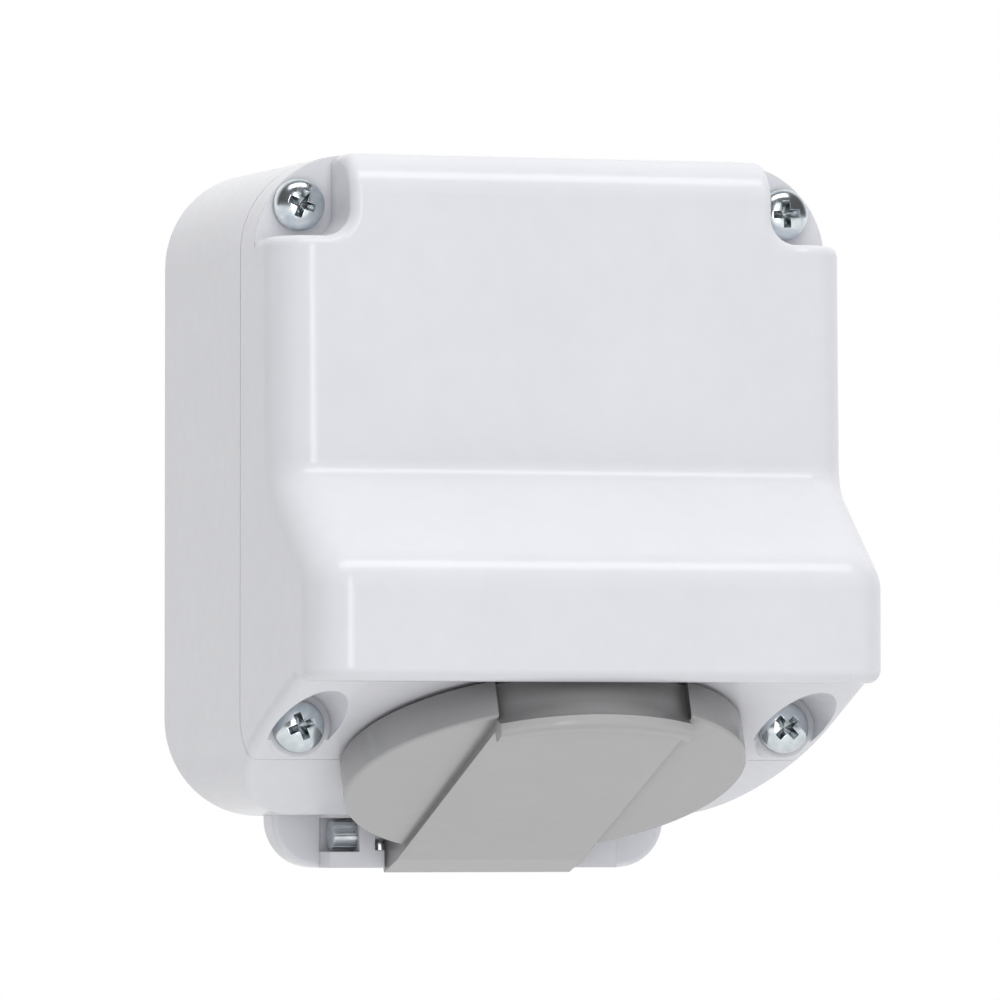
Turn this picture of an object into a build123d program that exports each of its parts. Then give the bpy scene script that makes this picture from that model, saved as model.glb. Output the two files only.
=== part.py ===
"""Outdoor weatherproof socket with a slanted, spring-closed round flap. Millimetres."""
import os
from math import cos, radians, sin, tan

from build123d import *

os.makedirs("parts", exist_ok=True)

# Frame: +X right, +Z up, the wall is the plane Y = 0 and depths run forward along -Y.

# Housing outline and depths
box_width = 91.6
box_height = 100.0
corner_radius = 15.0
draft_angle = 0.6
wall = 2.5
back_wall = 3.0
seam_depth = 42.0
pad_depth = 49.5
panel_top_depth = 60.6
panel_depth = 61.8
front_depth = 81.0

# Housing edges
edge_radius = 6.4
concave_radius = 4.0
convex_radius = 7.0
lip_thickness = 2.3
lip_radius = 2.0
pocket_edge = 1.6
pick_margin = 0.01

# Cover screws
screw_side_inset = 7.35
screw_top_inset = 8.1
screw_bottom_inset = 13.5
head_radius = 4.0
head_height = 2.6
head_rounding = 1.56
shank_radius = 1.9
shank_length = 24.0
pilot_spare = 2.0
recess_span = 4.6
recess_width = 1.1
recess_depth = 1.4
tight_fit = 0.05
free_fit = 0.3
pocket_reach = 5.2
pocket_corner = 4.0
bore_radius = 5.1
boss_radius = 4.6

# Heights on the front, measured from the bottom screw row
concave_rise = 37.9
convex_rise = 23.7
lip_rise = 6.4

# Slanted underside and flap
slant = 21.2
flap_radius = 30.6
flap_thickness = 5.8
flap_plate = 2.4
flap_skirt = 2.2
flap_gap = 0.7
flap_edge = 0.5
flap_setback = 29.8
flap_drop = 8.4
band_width = 30.0
band_rear_height = 0.8
band_front_height = 1.4
finger_height = 3.1
finger_thickness = 2.6
finger_nose = 1.0
finger_edge = 0.5
finger_proud = 0.3
finger_root = 3.7
hollow_depth = 1.8
hollow_radius = 4.0
bead_height = 1.2
recess_margin = 1.0
recess_flare = 40.0

# Hinge
hinge_reach = 37.0
knuckle_radius = 2.6
arm_tail = 2.6
arm_end_radius = 2.4
arm_end_corner = 2.0
pin_radius = 1.5
pin_fit = 0.06
side_gap = 0.4
plate_width = 63.6
plate_reach = 5.1
plate_corner = 7.5
plate_setback = 7.6
plate_thickness = 5.0
plate_edge = 0.8
block_reach = 3.0
left_block_outer = -24.2
right_block_outer = 22.2
bearing_wall = 0.8
window_right = -19.4
window_height = 2.6
window_depth = 6.0
notch_width = 1.5
notch_height = 1.6
notch_depth = 3.4
pin_head_radius = 2.3
pin_head_left = -23.2
spline_count = 14
spline_radius = 0.22
spring_span = 13.0
spring_radius = 2.15
spring_turns = 8
spring_pocket = 3.1
wire_radius = 0.4
wire_fit = 0.08
spring_hook = 2.0

# Socket insert, heights along its axis from the flap's rim plane, inwards
collar_radius = 23.2
well_radius = 19.75
well_depth = 17.5
collar_stand = 1.4
well_floor = 2.0
flange_radius = 26.5
flange_thickness = 2.0
seal_thickness = 0.8
seal_gap = 0.2
collar_fit = 0.3
rim_chamfer = 0.6
base_radius = 19.0
base_height = 15.0
pin_spacing = 19.0
pin_hole_radius = 2.7
sleeve_radius = 3.3
sleeve_bore = 2.4
clip_strip_width = 5.0
clip_strip_thickness = 0.8
slot_clearance = 0.1
terminal_size = 7.6
terminal_height = 8.0
terminal_screw_radius = 1.5
terminal_head_radius = 2.4
terminal_head_height = 1.6
terminal_corner = 0.8
wire_hole_radius = 1.6
wire_hole_level = 2.6
tail_reach = 11.0
slot_width = 0.8
slot_depth = 0.7
lug_reach = 28.0
lug_thickness = 3.0
lug_setback = 13.1
lug_rise = 22.5
lug_half_height = 4.5
lug_corner = 4.0
pillar_radius = 3.6
pillar_spacing = 48.0
insert_shank_radius = 1.4
insert_head_radius = 2.8
insert_head_height = 1.8
insert_shank_length = 16.0
front_screw_radius = 1.5
front_screw_head = 2.9
front_screw_head_height = 1.2
front_screw_length = 12.0

# Back wall: cable entry and wall screws
entry_drop = 28.0
entry_radius = 10.0
grommet_flange = 12.5
grommet_lip = 1.2
grommet_hole = 4.5
wall_hole_radius = 2.5
wall_spacing_x = 62.0
wall_spacing_z = 40.0
wall_centre_height = 6.0

# Gasket in the seam
gasket_inset = 0.7
gasket_width = 1.0
gasket_height = 2.0

# Fine groove that shows along the seam
seam_groove_width = 0.2
seam_groove_depth = 0.12

# Worked-out places
slope = tan(radians(slant))
slant_sin = sin(radians(slant))
slant_cos = cos(radians(slant))
screw_spacing_x = box_width - 2 * screw_side_inset
screw_spacing_z = box_height - screw_top_inset - screw_bottom_inset
screw_bottom_height = screw_bottom_inset - box_height / 2
screw_top_height = box_height / 2 - screw_top_inset
screw_x = screw_spacing_x / 2
flap_depth = front_depth - flap_setback
rim_depth = flap_depth - flap_thickness * slant_sin
rim_height = screw_bottom_height - flap_drop + flap_thickness * slant_cos
flap_plane = Plane(
    origin=(0, -rim_depth, rim_height),
    x_dir=(1, 0, 0),
    z_dir=(0, -slant_sin, -slant_cos),
)
hinge_depth = rim_depth - hinge_reach * slant_cos
hinge_height = rim_height - hinge_reach * slant_sin
box_bottom = -box_height / 2
plate_back = hinge_depth - plate_setback
plate_front = plate_back + plate_thickness
plate_top = box_bottom + wall / 2
plate_bottom = hinge_height - plate_reach
block_front = hinge_depth + block_reach
lug_depth = rim_depth - lug_setback
lug_height = rim_height + lug_rise
entry_height = box_height / 2 - entry_drop


def underside_height(depth):
    """Height of the slanted outer face at a depth from the wall."""
    return rim_height + flap_gap / slant_cos + slope * (depth - rim_depth)


lip_inner = front_depth - lip_thickness
lip_height = screw_bottom_height + lip_rise
lip_rear = rim_depth + (lip_height - rim_height - flap_gap / slant_cos) / slope
concave_height = screw_bottom_height + concave_rise
convex_height = screw_bottom_height + convex_rise
foot_depth = rim_depth - (rim_height + flap_gap / slant_cos - box_bottom + wall) / slope

# Points (-depth, height) of the stepped front and of the space under the slanted face, seen from the side.
# Outside, the slanted face ends in a level edge at the front. Inside, it runs on over the flap's recess.
front_points = [
    (0, -box_height),
    (-front_depth, -box_height),
    (-front_depth, convex_height),
    (-panel_depth, concave_height),
    (-panel_top_depth, box_height / 2 + wall),
    (0, box_height / 2 + wall),
]
underside_points = [
    (-foot_depth, box_bottom - wall),
    (-lip_rear, lip_height),
    (-front_depth - wall, lip_height),
    (-front_depth - wall, box_bottom - wall),
]
recess_points = [
    (-foot_depth, box_bottom - wall),
    (-lip_inner, underside_height(lip_inner)),
    (-lip_inner, lip_height),
    (-front_depth - wall, lip_height),
    (-front_depth - wall, box_bottom - wall),
]
screw_plane = Plane(
    origin=(0, -pad_depth, (screw_bottom_height + screw_top_height) / 2),
    x_dir=(1, 0, 0),
    z_dir=(0, -1, 0),
)
screw_sites = GridLocations(screw_spacing_x, screw_spacing_z, 2, 2)
bottom_sites = Locations((-screw_x, -screw_spacing_z / 2), (screw_x, -screw_spacing_z / 2))
pocket_x = screw_x - pocket_reach
pocket_z = screw_spacing_z / 2 - pocket_reach
pocket_floor = screw_top_height - pocket_reach
pilot_depth = shank_length - pad_depth + seam_depth + pilot_spare
pillar_sites = Locations((-pillar_spacing / 2, lug_height), (pillar_spacing / 2, lug_height))

# Levels along the socket's axis, outwards from the flap's rim
flange_level = -flap_gap - wall - seal_thickness
floor_level = collar_stand - well_depth
base_level = floor_level - well_floor
terminal_level = base_level - base_height
strip_reach = well_radius + slot_clearance + clip_strip_thickness / 2
strip_top = flange_level
pin_sites = Locations((-pin_spacing / 2, 0), (pin_spacing / 2, 0))
strip_sites = Locations((0, -strip_reach), (0, strip_reach))
arm_start = (flap_radius**2 - (band_width / 2) ** 2) ** 0.5 - flap_edge
flap_side = Plane(origin=flap_plane.origin, x_dir=flap_plane.y_dir, z_dir=(1, 0, 0))
arm_half = band_width / 2
arm_corner = (-hinge_reach - arm_tail, flap_thickness)
lip_nose = (flap_radius + finger_proud, flap_thickness + finger_height)
lip_heel = (lip_nose[0] - finger_thickness, lip_nose[1])
hollow_corner = (lip_nose[0] - hollow_depth, lip_nose[1] - bead_height)
block_inner = arm_half + side_gap
hinge_site = Locations((-hinge_depth, hinge_height))

# Round recess behind the front edge, which the closed flap lies in
with BuildPart() as flap_recess:
    with BuildSketch(flap_plane.offset(-flap_gap)):
        Circle(flap_radius + recess_margin)
    extrude(amount=flap_thickness, taper=-recess_flare)
    split(bisect_by=Plane.XZ.offset(lip_inner), keep=Keep.BOTTOM)

# Whole housing form, before it is parted at the seam
with BuildPart() as outer_form:
    with BuildSketch(Plane.XZ):
        RectangleRounded(box_width, box_height, corner_radius)
    extrude(amount=front_depth + wall, taper=draft_angle)
    with BuildSketch(Plane.YZ):
        with BuildLine():
            Polyline(front_points, close=True)
        make_face()
    extrude(amount=box_width, both=True, mode=Mode.INTERSECT)
    cross_edges = outer_form.edges().filter_by(Axis.X)
    fillet(cross_edges.sort_by_distance((0, -panel_depth, concave_height))[0], concave_radius)
    cross_edges = outer_form.edges().filter_by(Axis.X)
    fillet(cross_edges.sort_by_distance((0, -front_depth, convex_height))[0], convex_radius)
    front_edges = outer_form.edges().filter_by(
        lambda edge: edge.center().Y < -panel_top_depth + lip_radius
        and (abs(edge.center().X) > box_width / 4 or abs(edge.center().Z) > box_height / 2 - wall)
    )
    fillet(front_edges, edge_radius)
    with BuildSketch(Plane.YZ):
        with BuildLine():
            Polyline(underside_points, close=True)
        make_face()
    extrude(amount=box_width, both=True, mode=Mode.SUBTRACT)
    lip_edges = outer_form.edges().filter_by(
        lambda edge: abs(edge.center().Z - lip_height) < pick_margin
        and edge.center().Y < -lip_rear - pick_margin
    )
    side_edges = outer_form.edges().filter_by(
        lambda edge: abs(flap_plane.to_local_coords(edge.center()).Z + flap_gap) < pick_margin
        and abs(edge.center().X) > pick_margin
    )
    fillet(lip_edges + side_edges, lip_radius)
    add(flap_recess.part, mode=Mode.SUBTRACT)
    with BuildSketch(screw_plane):
        for side in (-1, 1):
            with Locations((side * (pocket_x + box_width / 2), pocket_z + box_width / 2)):
                RectangleRounded(box_width, box_width, pocket_corner)
    extrude(amount=front_depth, mode=Mode.SUBTRACT)
    pocket_edges = outer_form.edges().filter_by(
        lambda edge: edge.center().Y < -pad_depth - pocket_edge
        and edge.center().Z > pocket_floor - pick_margin
        and abs(edge.center().X) > pocket_x - pick_margin
        and (
            abs(edge.center().Z - pocket_floor) < pick_margin
            or abs(abs(edge.center().X) - pocket_x) < pick_margin
            or edge.geom_type == GeomType.ELLIPSE
        )
    )
    fillet(pocket_edges, pocket_edge)

# Hollow inside of the housing
with BuildPart() as cavity:
    with BuildSketch(Plane.XZ.offset(back_wall)):
        RectangleRounded(box_width - 2 * wall, box_height - 2 * wall, corner_radius - wall)
    extrude(amount=front_depth, taper=draft_angle)
    with BuildSketch(Plane.YZ):
        with BuildLine():
            Polyline(front_points, close=True)
        make_face()
        offset(amount=-wall, kind=Kind.INTERSECTION, mode=Mode.REPLACE)
    extrude(amount=box_width, both=True, mode=Mode.INTERSECT)
    with BuildSketch(Plane.YZ):
        with BuildLine():
            Polyline(recess_points, close=True)
        make_face()
        offset(amount=wall, kind=Kind.INTERSECTION, mode=Mode.REPLACE)
    extrude(amount=box_width, both=True, mode=Mode.SUBTRACT)
    with BuildSketch(screw_plane.offset(seam_depth - pad_depth)):
        for side in (-1, 1):
            with Locations((side * (pocket_x - wall + box_width / 2), pocket_z - wall + box_width / 2)):
                RectangleRounded(box_width, box_width, pocket_corner)
        with bottom_sites:
            Circle(bore_radius + wall)
    extrude(amount=front_depth, mode=Mode.SUBTRACT)
    with BuildSketch(screw_plane.offset(-pad_depth)):
        with screw_sites:
            Circle(bore_radius)
    extrude(amount=seam_depth, mode=Mode.SUBTRACT)

# Space for the gasket in the rim of the rear box
with BuildPart() as gasket_groove:
    seam_shrink = 2 * seam_depth * tan(radians(draft_angle))
    groove_inset = seam_shrink + 2 * gasket_inset
    with BuildSketch(Plane.XZ.offset(seam_depth)):
        groove_corner = corner_radius - groove_inset / 2
        RectangleRounded(box_width - groove_inset, box_height - groove_inset, groove_corner)
        offset(amount=-gasket_width, mode=Mode.SUBTRACT)
        with Locations((0, underside_height(seam_depth) + 2 * wall)):
            Rectangle(2 * box_width, box_height, align=(Align.CENTER, Align.MAX), mode=Mode.SUBTRACT)
    extrude(amount=-gasket_height)

# Everything outside the bottom of the fine groove along the seam
with BuildPart() as seam_groove:
    groove_shrink = seam_shrink + 2 * seam_groove_depth
    with BuildSketch(Plane.XZ.offset(seam_depth)):
        Rectangle(2 * box_width, 2 * box_height)
        with BuildSketch(mode=Mode.PRIVATE) as kept:
            RectangleRounded(box_width - groove_shrink, box_height - groove_shrink, corner_radius)
            with Locations((0, underside_height(seam_depth) + seam_groove_depth)):
                Rectangle(2 * box_width, box_height, align=(Align.CENTER, Align.MAX), mode=Mode.SUBTRACT)
        add(kept.sketch, mode=Mode.SUBTRACT)
    extrude(amount=seam_groove_width)

# Rear box with pillars and hinge bracket
with BuildPart() as rear_box:
    add(outer_form.part)
    split(bisect_by=Plane.XZ.offset(seam_depth), keep=Keep.BOTTOM)
    add(cavity.part, mode=Mode.SUBTRACT)
    with BuildSketch(Plane.XZ.offset(back_wall)):
        with pillar_sites:
            Circle(pillar_radius)
    extrude(amount=lug_depth - back_wall)
    with BuildSketch(Plane.XZ.offset(plate_back)):
        with BuildLine():
            FilletPolyline(
                (-plate_width / 2, plate_top),
                (-plate_width / 2, plate_bottom),
                (plate_width / 2, plate_bottom),
                (plate_width / 2, plate_top),
                radius=plate_corner,
            )
            Line((plate_width / 2, plate_top), (-plate_width / 2, plate_top))
        make_face()
    extrude(amount=plate_front - plate_back)
    plate_edges = rear_box.edges().filter_by_position(Axis.Z, plate_bottom - wall, box_bottom + pick_margin)
    plate_rim = plate_edges.filter_by_position(Axis.Y, -plate_front - pick_margin, -plate_front + pick_margin)
    fillet(plate_rim.filter_by(lambda edge: edge.center().Z < box_bottom - pick_margin), plate_edge)
    with BuildSketch(Plane.XZ.offset(plate_back)):
        for block_start, block_end in ((left_block_outer, -block_inner), (block_inner, right_block_outer)):
            with Locations(((block_start + block_end) / 2, (plate_top + plate_bottom) / 2)):
                Rectangle(block_end - block_start, plate_top - plate_bottom)
    extrude(amount=block_front - plate_back)
    with BuildSketch(Plane.XZ):
        with Locations((0, box_bottom)):
            Rectangle(2 * block_inner, 2 * (box_bottom - plate_bottom), align=(Align.CENTER, Align.MAX))
    extrude(amount=block_front, mode=Mode.SUBTRACT)
    with BuildSketch(Plane.XZ.offset(block_front - window_depth)):
        with Locations(((left_block_outer + window_right) / 2, hinge_height)):
            Rectangle(window_right - left_block_outer, 2 * window_height)
    extrude(amount=block_front, mode=Mode.SUBTRACT)
    with BuildSketch(Plane.XZ.offset(block_front - notch_depth)):
        with Locations((-block_inner - notch_width / 2, hinge_height - pin_radius / 2)):
            Rectangle(notch_width, 2 * notch_height)
    extrude(amount=block_front, mode=Mode.SUBTRACT)
    with BuildSketch(Plane.YZ.offset(window_right)):
        with hinge_site:
            Circle(pin_radius + pin_fit)
    extrude(amount=right_block_outer - window_right - bearing_wall, mode=Mode.SUBTRACT)
    with BuildSketch(screw_plane.offset(seam_depth - pad_depth)):
        with screw_sites:
            Circle(shank_radius + tight_fit)
    extrude(amount=-pilot_depth, mode=Mode.SUBTRACT)
    with BuildSketch(Plane.XZ.offset(lug_depth)):
        with pillar_sites:
            Circle(insert_shank_radius + tight_fit)
    extrude(amount=-insert_shank_length, mode=Mode.SUBTRACT)
    with BuildSketch(Plane.XZ):
        with Locations((0, entry_height)):
            Circle(entry_radius)
        with Locations((0, wall_centre_height)):
            with GridLocations(wall_spacing_x, wall_spacing_z, 2, 2):
                Circle(wall_hole_radius)
    extrude(amount=back_wall, mode=Mode.SUBTRACT)
    add(gasket_groove.part, mode=Mode.SUBTRACT)
    with BuildSketch(flap_plane.offset(collar_stand)):
        Circle(collar_radius + collar_fit)
    extrude(amount=-collar_stand - flap_gap - 2 * wall, mode=Mode.SUBTRACT)

rear_box.part.label = "rear_box"
export_step(rear_box.part, "parts/rear_box.step")

# Front cover with counterbored seats for the bottom screws
with BuildPart() as front_cover:
    add(outer_form.part)
    split(bisect_by=Plane.XZ.offset(seam_depth), keep=Keep.TOP)
    add(cavity.part, mode=Mode.SUBTRACT)
    with BuildSketch(screw_plane):
        with bottom_sites:
            Circle(bore_radius)
    extrude(amount=front_depth, mode=Mode.SUBTRACT)
    with BuildSketch(screw_plane):
        with bottom_sites:
            Circle(boss_radius)
    extrude(amount=seam_depth - pad_depth)
    with BuildSketch(screw_plane):
        with screw_sites:
            Circle(shank_radius + free_fit)
    extrude(amount=seam_depth - pad_depth, mode=Mode.SUBTRACT)
    add(seam_groove.part, mode=Mode.SUBTRACT)
    with BuildSketch(flap_plane.offset(collar_stand)):
        Circle(collar_radius + collar_fit)
    extrude(amount=-collar_stand - flap_gap - 2 * wall, mode=Mode.SUBTRACT)

front_cover.part.label = "front_cover"
export_step(front_cover.part, "parts/front_cover.step")

# Rubber gasket that fills the groove in the seam
with BuildPart() as cover_gasket:
    add(gasket_groove.part)

cover_gasket.part.label = "cover_gasket"
export_step(cover_gasket.part, "parts/cover_gasket.step")

# Cover screws: pan heads with a cross recess
with BuildPart() as cover_screws:
    with BuildSketch(screw_plane):
        with screw_sites:
            Circle(head_radius)
    extrude(amount=head_height)
    fillet(cover_screws.edges().group_by(Axis.Y)[0], head_rounding)
    with BuildSketch(screw_plane.offset(head_height)):
        with screw_sites:
            Rectangle(recess_span, recess_width)
            Rectangle(recess_width, recess_span)
    extrude(amount=-recess_depth, mode=Mode.SUBTRACT)
    with BuildSketch(screw_plane):
        with screw_sites:
            Circle(shank_radius)
    extrude(amount=-shank_length)

cover_screws.part.label = "cover_screws"
export_step(cover_screws.part, "parts/cover_screws.step")

# Collar and well that take the plug
with BuildPart() as socket_front:
    with BuildSketch(flap_plane.offset(collar_stand)):
        Circle(collar_radius)
    extrude(amount=-well_depth - well_floor)
    with BuildSketch(flap_plane.offset(flange_level)):
        Circle(flange_radius)
    extrude(amount=-flange_thickness)
    with BuildSketch(flap_plane.offset(collar_stand)):
        Circle(well_radius)
    extrude(amount=-well_depth, mode=Mode.SUBTRACT)
    chamfer(socket_front.edges().group_by(Axis((0, 0, 0), flap_plane.z_dir))[-1], rim_chamfer)
    with BuildSketch(flap_plane.offset(floor_level)):
        with pin_sites:
            Circle(pin_hole_radius)
        Circle(front_screw_radius + tight_fit)
    extrude(amount=-well_floor, mode=Mode.SUBTRACT)
    with BuildSketch(flap_plane.offset(floor_level)):
        Circle(front_screw_head + free_fit)
    extrude(amount=-front_screw_head_height, mode=Mode.SUBTRACT)
    with BuildSketch(flap_plane.offset(strip_top + slot_clearance)):
        with strip_sites:
            Rectangle(clip_strip_width + 2 * slot_clearance, clip_strip_thickness + 2 * slot_clearance)
    extrude(amount=base_level - strip_top - slot_clearance, mode=Mode.SUBTRACT)

socket_front.part.label = "socket_front"
export_step(socket_front.part, "parts/socket_front.step")

# Insulating block behind the well, with its two lugs
with BuildPart() as socket_base:
    with BuildSketch(flap_plane.offset(base_level)):
        Circle(base_radius)
    extrude(amount=-base_height)
    with BuildSketch(Plane.XZ.offset(lug_depth)):
        with Locations((0, lug_height)):
            RectangleRounded(2 * lug_reach, 2 * lug_half_height, lug_corner)
    extrude(amount=lug_thickness)
    with BuildSketch(Plane.XZ.offset(lug_depth)):
        with pillar_sites:
            Circle(insert_shank_radius + free_fit)
    extrude(amount=lug_thickness, mode=Mode.SUBTRACT)
    with BuildSketch(flap_plane.offset(base_level)):
        with pin_sites:
            Circle(sleeve_radius + tight_fit)
        with Locations((0, tail_reach)):
            Rectangle(clip_strip_width + 2 * slot_clearance, clip_strip_thickness + 2 * slot_clearance)
    extrude(amount=-base_height, mode=Mode.SUBTRACT)
    with BuildSketch(flap_plane.offset(base_level)):
        Rectangle(clip_strip_width + 2 * slot_clearance, 2 * flange_radius)
    extrude(amount=-clip_strip_thickness, mode=Mode.SUBTRACT)
    with BuildSketch(flap_plane.offset(base_level)):
        Circle(front_screw_radius + tight_fit)
    extrude(amount=-front_screw_length, mode=Mode.SUBTRACT)

socket_base.part.label = "socket_base"
export_step(socket_base.part, "parts/socket_base.step")

# Contact sleeves for the two pins
for side_name, side in (("left", -1), ("right", 1)):
    with BuildPart() as contact_sleeve:
        with BuildSketch(flap_plane.offset(base_level)):
            with Locations((side * pin_spacing / 2, 0)):
                Circle(sleeve_radius)
                Circle(sleeve_bore, mode=Mode.SUBTRACT)
        extrude(amount=-base_height)
    contact_sleeve.part.label = "contact_sleeve_" + side_name
    export_step(contact_sleeve.part, "parts/contact_sleeve_" + side_name + ".step")

# Earth strip: a contact on both sides of the well, a cross strip and a tail to its terminal
with BuildPart() as earth_clip:
    with BuildSketch(flap_plane.offset(strip_top)):
        with strip_sites:
            Rectangle(clip_strip_width, clip_strip_thickness)
    extrude(amount=base_level - clip_strip_thickness - strip_top)
    with BuildSketch(flap_plane.offset(base_level)):
        Rectangle(clip_strip_width, 2 * strip_reach + clip_strip_thickness)
        Circle(front_screw_radius + tight_fit, mode=Mode.SUBTRACT)
    extrude(amount=-clip_strip_thickness)
    with BuildSketch(flap_plane.offset(base_level)):
        with Locations((0, tail_reach)):
            Rectangle(clip_strip_width, clip_strip_thickness)
    extrude(amount=-base_height)

earth_clip.part.label = "earth_clip"
export_step(earth_clip.part, "parts/earth_clip.step")

# Terminal blocks on the back of the insulating block
terminal_places = {
    "left": (-pin_spacing / 2, 0),
    "right": (pin_spacing / 2, 0),
    "earth": (0, tail_reach),
}
for terminal_name, terminal_place in terminal_places.items():
    with BuildPart() as terminal:
        with BuildSketch(flap_plane.offset(terminal_level)):
            with Locations(terminal_place):
                RectangleRounded(terminal_size, terminal_size, terminal_corner)
        extrude(amount=-terminal_height)
        with BuildSketch(flap_plane.offset(terminal_level - terminal_height)):
            with Locations(terminal_place):
                Circle(terminal_screw_radius + tight_fit)
        extrude(amount=terminal_height - wire_hole_level, mode=Mode.SUBTRACT)
        wire_plane = Plane(
            origin=flap_plane.from_local_coords((terminal_place[0], 0, terminal_level - wire_hole_level)),
            x_dir=(1, 0, 0),
            z_dir=flap_plane.y_dir,
        )
        with BuildSketch(wire_plane):
            Circle(wire_hole_radius)
        extrude(amount=flange_radius, both=True, mode=Mode.SUBTRACT)
    terminal.part.label = "terminal_" + terminal_name
    export_step(terminal.part, "parts/terminal_" + terminal_name + ".step")

# Clamping screws of the three terminals
with BuildPart() as terminal_screws:
    with BuildSketch(flap_plane.offset(terminal_level - terminal_height)):
        with Locations(*terminal_places.values()):
            Circle(terminal_head_radius)
    extrude(amount=-terminal_head_height)
    with BuildSketch(flap_plane.offset(terminal_level - terminal_height - terminal_head_height)):
        with Locations(*terminal_places.values()):
            Rectangle(2 * terminal_head_radius, slot_width)
    extrude(amount=slot_depth, mode=Mode.SUBTRACT)
    with BuildSketch(flap_plane.offset(terminal_level - terminal_height)):
        with Locations(*terminal_places.values()):
            Circle(terminal_screw_radius)
    extrude(amount=terminal_height - wire_hole_level - wire_hole_radius)

terminal_screws.part.label = "terminal_screws"
export_step(terminal_screws.part, "parts/terminal_screws.step")

# Screws through the lugs into the pillars
with BuildPart() as insert_screws:
    with BuildSketch(Plane.XZ.offset(lug_depth + lug_thickness)):
        with pillar_sites:
            Circle(insert_head_radius)
    extrude(amount=insert_head_height)
    with BuildSketch(Plane.XZ.offset(lug_depth + lug_thickness + insert_head_height)):
        with pillar_sites:
            Rectangle(2 * insert_head_radius, slot_width)
    extrude(amount=-slot_depth, mode=Mode.SUBTRACT)
    with BuildSketch(Plane.XZ.offset(lug_depth + lug_thickness)):
        with pillar_sites:
            Circle(insert_shank_radius)
    extrude(amount=-insert_shank_length)

insert_screws.part.label = "insert_screws"
export_step(insert_screws.part, "parts/insert_screws.step")

# Screw in the middle of the well
with BuildPart() as front_screw:
    with BuildSketch(flap_plane.offset(floor_level)):
        Circle(front_screw_head)
    extrude(amount=-front_screw_head_height)
    with BuildSketch(flap_plane.offset(floor_level)):
        Rectangle(2 * front_screw_head, slot_width)
    extrude(amount=-slot_depth, mode=Mode.SUBTRACT)
    with BuildSketch(flap_plane.offset(floor_level - front_screw_head_height)):
        Circle(front_screw_radius)
    extrude(amount=-front_screw_length)

front_screw.part.label = "front_screw"
export_step(front_screw.part, "parts/front_screw.step")

# Flat ring between the collar's flange and the inside of the slanted wall
with BuildPart() as collar_seal:
    with BuildSketch(flap_plane.offset(flange_level)):
        Circle(flange_radius)
        Circle(collar_radius + tight_fit, mode=Mode.SUBTRACT)
    extrude(amount=seal_thickness)

collar_seal.part.label = "collar_seal"
export_step(collar_seal.part, "parts/collar_seal.step")

# Curved lip with rounded edges that lifts the flap
with BuildPart() as finger_lip:
    with BuildSketch(flap_side) as lip_profile:
        with Locations(lip_nose):
            Rectangle(finger_thickness, lip_nose[1], align=(Align.MAX, Align.MAX))
        fillet(lip_profile.vertices().sort_by_distance(lip_nose)[0], finger_nose)
        fillet(lip_profile.vertices().sort_by_distance(lip_heel)[0], finger_edge)
        with Locations((lip_nose[0], 0)):
            Rectangle(finger_root, flap_thickness - flap_plate / 2, align=(Align.MAX, Align.MIN))
    revolve(axis=Axis(flap_plane.origin, flap_plane.z_dir))
    with BuildSketch(flap_plane):
        Rectangle(band_width, flap_radius + wall, align=(Align.CENTER, Align.MIN))
    extrude(amount=flap_thickness + finger_height, mode=Mode.INTERSECT)

# Hollow over the lip that takes a fingertip
with BuildPart() as finger_hollow:
    with BuildSketch(flap_side) as hollow_profile:
        with Locations(hollow_corner):
            Rectangle(2 * hollow_radius, 2 * flap_thickness, align=(Align.MIN, Align.MAX))
        fillet(hollow_profile.vertices().sort_by_distance(hollow_corner)[0], hollow_radius)
    revolve(axis=Axis(flap_plane.origin, flap_plane.z_dir))
    with BuildSketch(flap_plane):
        Rectangle(band_width, 2 * flap_radius, align=(Align.CENTER, Align.MIN))
    extrude(amount=2 * flap_thickness, both=True, mode=Mode.INTERSECT)

# Arm from the flap to the hinge, with its knuckle and rounded end corners
with BuildPart() as flap_arm:
    with BuildSketch(flap_side) as arm_profile:
        with BuildLine():
            Polyline(
                (-arm_start, 0),
                (-arm_start, flap_thickness + band_rear_height),
                (-flap_radius, flap_thickness + band_rear_height),
                arm_corner,
                (-hinge_reach - arm_tail, 0),
                close=True,
            )
        make_face()
        fillet(arm_profile.vertices().sort_by_distance(arm_corner)[0], arm_end_radius)
    extrude(amount=arm_half, both=True)
    with BuildSketch(flap_side):
        with Locations((-hinge_reach, 0)):
            Circle(knuckle_radius)
    extrude(amount=arm_half, both=True)
    with BuildSketch(flap_plane):
        with Locations((0, -hinge_reach - arm_tail)):
            RectangleRounded(band_width, hinge_reach, arm_end_corner, align=(Align.CENTER, Align.MIN))
    extrude(amount=flap_thickness + band_front_height, both=True, mode=Mode.INTERSECT)

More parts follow.
